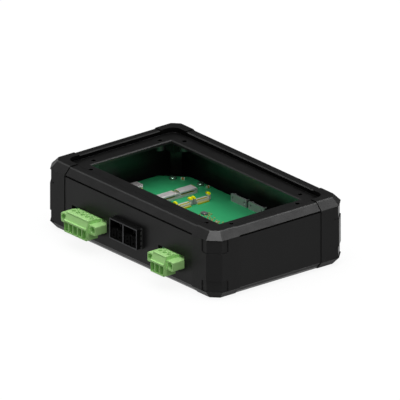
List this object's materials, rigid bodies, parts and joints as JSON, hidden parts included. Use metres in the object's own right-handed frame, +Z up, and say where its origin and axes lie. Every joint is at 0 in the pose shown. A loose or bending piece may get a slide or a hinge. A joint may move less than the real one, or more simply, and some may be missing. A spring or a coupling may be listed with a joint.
{
  "type": "stepper driver module",
  "caption": "Open-topped stepper driver module: dark case with corner caps, board with card sockets, two pluggable green terminal blocks and a black signal connector.",
  "frame": {"origin": "centre of the case's underside, midway between the four corner caps", "axes": "+X along the long side, +Y away from the connector wall, +Z up"},
  "size_m": [0.1466, 0.1043, 0.0389],
  "materials": {
    "case_plastic": "fine moulded texture",
    "cap_plastic": "fine moulded texture",
    "board_green": "satin solder mask",
    "terminal_green": "satin moulded",
    "screw_steel": "zinc plated",
    "plated_contact": "tin plated",
    "connector_black": "satin moulded",
    "lever_grey": "satin moulded",
    "socket_grey": "satin moulded",
    "latch_plastic": "satin moulded, yellow head",
    "contact_gold": "gold plated",
    "chip_grey": "satin",
    "component_ceramic": "fired, with tinned ends",
    "shield_metal": "satin"
  },
  "bodies": {
    "housing": {"base_shell": "case_plastic", "top_frame": "case_plastic", "corner_cap_front_left": "cap_plastic", "corner_cap_front_right": "cap_plastic", "corner_cap_back_left": "cap_plastic", "corner_cap_back_right": "cap_plastic", "main_board": "board_green", "board_screws": "screw_steel", "motor_header_housing": "terminal_green", "power_header_housing": "terminal_green", "header_pins": "plated_contact", "header_flange_nuts": "plated_contact", "signal_connector_housing": "connector_black", "signal_contacts": "plated_contact", "tall_card_socket_left": "socket_grey", "low_card_socket_left": "socket_grey", "tall_card_socket_right": "socket_grey", "low_card_socket_right": "socket_grey", "side_socket": "socket_grey", "tall_socket_contacts": "contact_gold", "low_socket_contacts": "contact_gold", "side_socket_contacts": "contact_gold", "driver_chip": "chip_grey", "capacitors": "component_ceramic", "small_passives": "component_ceramic", "output_capacitor": "component_ceramic", "shield_plates": "shield_metal"},
    "motor_plug": {"motor_plug_housing": "terminal_green", "motor_plug_contacts": "plated_contact"},
    "motor_clamp_screw_1": {"motor_clamp_screw_1": "screw_steel"},
    "motor_clamp_cage_1": {"motor_clamp_cage_1": "plated_contact"},
    "motor_clamp_screw_2": {"motor_clamp_screw_2": "screw_steel"},
    "motor_clamp_cage_2": {"motor_clamp_cage_2": "plated_contact"},
    "motor_clamp_screw_3": {"motor_clamp_screw_3": "screw_steel"},
    "motor_clamp_cage_3": {"motor_clamp_cage_3": "plated_contact"},
    "motor_clamp_screw_4": {"motor_clamp_screw_4": "screw_steel"},
    "motor_clamp_cage_4": {"motor_clamp_cage_4": "plated_contact"},
    "motor_clamp_screw_5": {"motor_clamp_screw_5": "screw_steel"},
    "motor_clamp_cage_5": {"motor_clamp_cage_5": "plated_contact"},
    "motor_flange_screw_left": {"motor_flange_screw_left": "screw_steel"},
    "motor_flange_screw_right": {"motor_flange_screw_right": "screw_steel"},
    "power_plug": {"power_plug_housing": "terminal_green", "power_plug_contacts": "plated_contact"},
    "power_clamp_screw_1": {"power_clamp_screw_1": "screw_steel"},
    "power_clamp_cage_1": {"power_clamp_cage_1": "plated_contact"},
    "power_clamp_screw_2": {"power_clamp_screw_2": "screw_steel"},
    "power_clamp_cage_2": {"power_clamp_cage_2": "plated_contact"},
    "power_clamp_screw_3": {"power_clamp_screw_3": "screw_steel"},
    "power_clamp_cage_3": {"power_clamp_cage_3": "plated_contact"},
    "power_flange_screw_left": {"power_flange_screw_left": "screw_steel"},
    "power_flange_screw_right": {"power_flange_screw_right": "screw_steel"},
    "signal_release_lever_1": {"signal_release_lever_1": "lever_grey"},
    "signal_release_lever_2": {"signal_release_lever_2": "lever_grey"},
    "signal_release_lever_3": {"signal_release_lever_3": "lever_grey"},
    "signal_release_lever_4": {"signal_release_lever_4": "lever_grey"},
    "card_latch_1": {"card_latch_1": "latch_plastic"},
    "card_latch_2": {"card_latch_2": "latch_plastic"},
    "card_latch_3": {"card_latch_3": "latch_plastic"},
    "card_latch_4": {"card_latch_4": "latch_plastic"}
  },
  "joints": [
    {"name": "motor_plug_pull", "type": "slide", "parent": "housing", "child": "motor_plug", "axis": [0, -1, 0], "range_m": [0, 0.012]},
    {"name": "motor_clamp_screw_1_turn", "type": "hinge", "parent": "motor_plug", "child": "motor_clamp_screw_1", "pos_m": [-0.04102, -0.05135, 0.0175], "axis": [0, 0, -1], "range_deg": [0, 1440]},
    {"name": "motor_clamp_cage_1_rise", "type": "slide", "parent": "motor_plug", "child": "motor_clamp_cage_1", "axis": [0, 0, 1], "range_m": [0, 0.0016]},
    {"name": "motor_clamp_screw_2_turn", "type": "hinge", "parent": "motor_plug", "child": "motor_clamp_screw_2", "pos_m": [-0.03721, -0.05135, 0.0175], "axis": [0, 0, -1], "range_deg": [0, 1440]},
    {"name": "motor_clamp_cage_2_rise", "type": "slide", "parent": "motor_plug", "child": "motor_clamp_cage_2", "axis": [0, 0, 1], "range_m": [0, 0.0016]},
    {"name": "motor_clamp_screw_3_turn", "type": "hinge", "parent": "motor_plug", "child": "motor_clamp_screw_3", "pos_m": [-0.0334, -0.05135, 0.0175], "axis": [0, 0, -1], "range_deg": [0, 1440]},
    {"name": "motor_clamp_cage_3_rise", "type": "slide", "parent": "motor_plug", "child": "motor_clamp_cage_3", "axis": [0, 0, 1], "range_m": [0, 0.0016]},
    {"name": "motor_clamp_screw_4_turn", "type": "hinge", "parent": "motor_plug", "child": "motor_clamp_screw_4", "pos_m": [-0.02959, -0.05135, 0.0175], "axis": [0, 0, -1], "range_deg": [0, 1440]},
    {"name": "motor_clamp_cage_4_rise", "type": "slide", "parent": "motor_plug", "child": "motor_clamp_cage_4", "axis": [0, 0, 1], "range_m": [0, 0.0016]},
    {"name": "motor_clamp_screw_5_turn", "type": "hinge", "parent": "motor_plug", "child": "motor_clamp_screw_5", "pos_m": [-0.02578, -0.05135, 0.0175], "axis": [0, 0, -1], "range_deg": [0, 1440]},
    {"name": "motor_clamp_cage_5_rise", "type": "slide", "parent": "motor_plug", "child": "motor_clamp_cage_5", "axis": [0, 0, 1], "range_m": [0, 0.0016]},
    {"name": "motor_flange_screw_left_turn", "type": "hinge", "parent": "motor_plug", "child": "motor_flange_screw_left", "pos_m": [-0.04562, -0.05, 0.0149], "axis": [0, 1, 0], "continuous": true},
    {"name": "motor_flange_screw_right_turn", "type": "hinge", "parent": "motor_plug", "child": "motor_flange_screw_right", "pos_m": [-0.02118, -0.05, 0.0149], "axis": [0, 1, 0], "continuous": true},
    {"name": "power_plug_pull", "type": "slide", "parent": "housing", "child": "power_plug", "axis": [0, -1, 0], "range_m": [0, 0.012]},
    {"name": "power_clamp_screw_1_turn", "type": "hinge", "parent": "power_plug", "child": "power_clamp_screw_1", "pos_m": [0.03324, -0.05135, 0.0175], "axis": [0, 0, -1], "range_deg": [0, 1440]},
    {"name": "power_clamp_cage_1_rise", "type": "slide", "parent": "power_plug", "child": "power_clamp_cage_1", "axis": [0, 0, 1], "range_m": [0, 0.0016]},
    {"name": "power_clamp_screw_2_turn", "type": "hinge", "parent": "power_plug", "child": "power_clamp_screw_2", "pos_m": [0.03705, -0.05135, 0.0175], "axis": [0, 0, -1], "range_deg": [0, 1440]},
    {"name": "power_clamp_cage_2_rise", "type": "slide", "parent": "power_plug", "child": "power_clamp_cage_2", "axis": [0, 0, 1], "range_m": [0, 0.0016]},
    {"name": "power_clamp_screw_3_turn", "type": "hinge", "parent": "power_plug", "child": "power_clamp_screw_3", "pos_m": [0.04086, -0.05135, 0.0175], "axis": [0, 0, -1], "range_deg": [0, 1440]},
    {"name": "power_clamp_cage_3_rise", "type": "slide", "parent": "power_plug", "child": "power_clamp_cage_3", "axis": [0, 0, 1], "range_m": [0, 0.0016]},
    {"name": "power_flange_screw_left_turn", "type": "hinge", "parent": "power_plug", "child": "power_flange_screw_left", "pos_m": [0.02864, -0.05, 0.0149], "axis": [0, 1, 0], "continuous": true},
    {"name": "power_flange_screw_right_turn", "type": "hinge", "parent": "power_plug", "child": "power_flange_screw_right", "pos_m": [0.04546, -0.05, 0.0149], "axis": [0, 1, 0], "continuous": true},
    {"name": "signal_release_lever_1_press", "type": "slide", "parent": "housing", "child": "signal_release_lever_1", "axis": [0, 1, 0], "range_m": [0, 0.0012], "stiffness_N_per_m": 800},
    {"name": "signal_release_lever_2_press", "type": "slide", "parent": "housing", "child": "signal_release_lever_2", "axis": [0, 1, 0], "range_m": [0, 0.0012], "stiffness_N_per_m": 800},
    {"name": "signal_release_lever_3_press", "type": "slide", "parent": "housing", "child": "signal_release_lever_3", "axis": [0, 1, 0], "range_m": [0, 0.0012], "stiffness_N_per_m": 800},
    {"name": "signal_release_lever_4_press", "type": "slide", "parent": "housing", "child": "signal_release_lever_4", "axis": [0, 1, 0], "range_m": [0, 0.0012], "stiffness_N_per_m": 800},
    {"name": "card_latch_1_tilt", "type": "hinge", "parent": "housing", "child": "card_latch_1", "pos_m": [-0.02145, 0.00425, 0.0126], "axis": [0, 1, 0], "range_deg": [0, 10], "stiffness_Nm_per_rad": 0.02},
    {"name": "card_latch_2_tilt", "type": "hinge", "parent": "housing", "child": "card_latch_2", "pos_m": [-0.02145, 0.01455, 0.0126], "axis": [0, 1, 0], "range_deg": [0, 10], "stiffness_Nm_per_rad": 0.02},
    {"name": "card_latch_3_tilt", "type": "hinge", "parent": "housing", "child": "card_latch_3", "pos_m": [-0.02145, 0.01675, 0.0126], "axis": [0, 1, 0], "range_deg": [0, 10], "stiffness_Nm_per_rad": 0.02},
    {"name": "card_latch_4_tilt", "type": "hinge", "parent": "housing", "child": "card_latch_4", "pos_m": [-0.02145, 0.02705, 0.0126], "axis": [0, 1, 0], "range_deg": [0, 10], "stiffness_Nm_per_rad": 0.02}
  ],
  "couplings": [
    {"joint": "motor_clamp_screw_1_turn", "follows": "motor_clamp_cage_1_rise", "rad_per_m": 15708},
    {"joint": "motor_clamp_screw_2_turn", "follows": "motor_clamp_cage_2_rise", "rad_per_m": 15708},
    {"joint": "motor_clamp_screw_3_turn", "follows": "motor_clamp_cage_3_rise", "rad_per_m": 15708},
    {"joint": "motor_clamp_screw_4_turn", "follows": "motor_clamp_cage_4_rise", "rad_per_m": 15708},
    {"joint": "motor_clamp_screw_5_turn", "follows": "motor_clamp_cage_5_rise", "rad_per_m": 15708},
    {"joint": "power_clamp_screw_1_turn", "follows": "power_clamp_cage_1_rise", "rad_per_m": 15708},
    {"joint": "power_clamp_screw_2_turn", "follows": "power_clamp_cage_2_rise", "rad_per_m": 15708},
    {"joint": "power_clamp_screw_3_turn", "follows": "power_clamp_cage_3_rise", "rad_per_m": 15708}
  ]
}
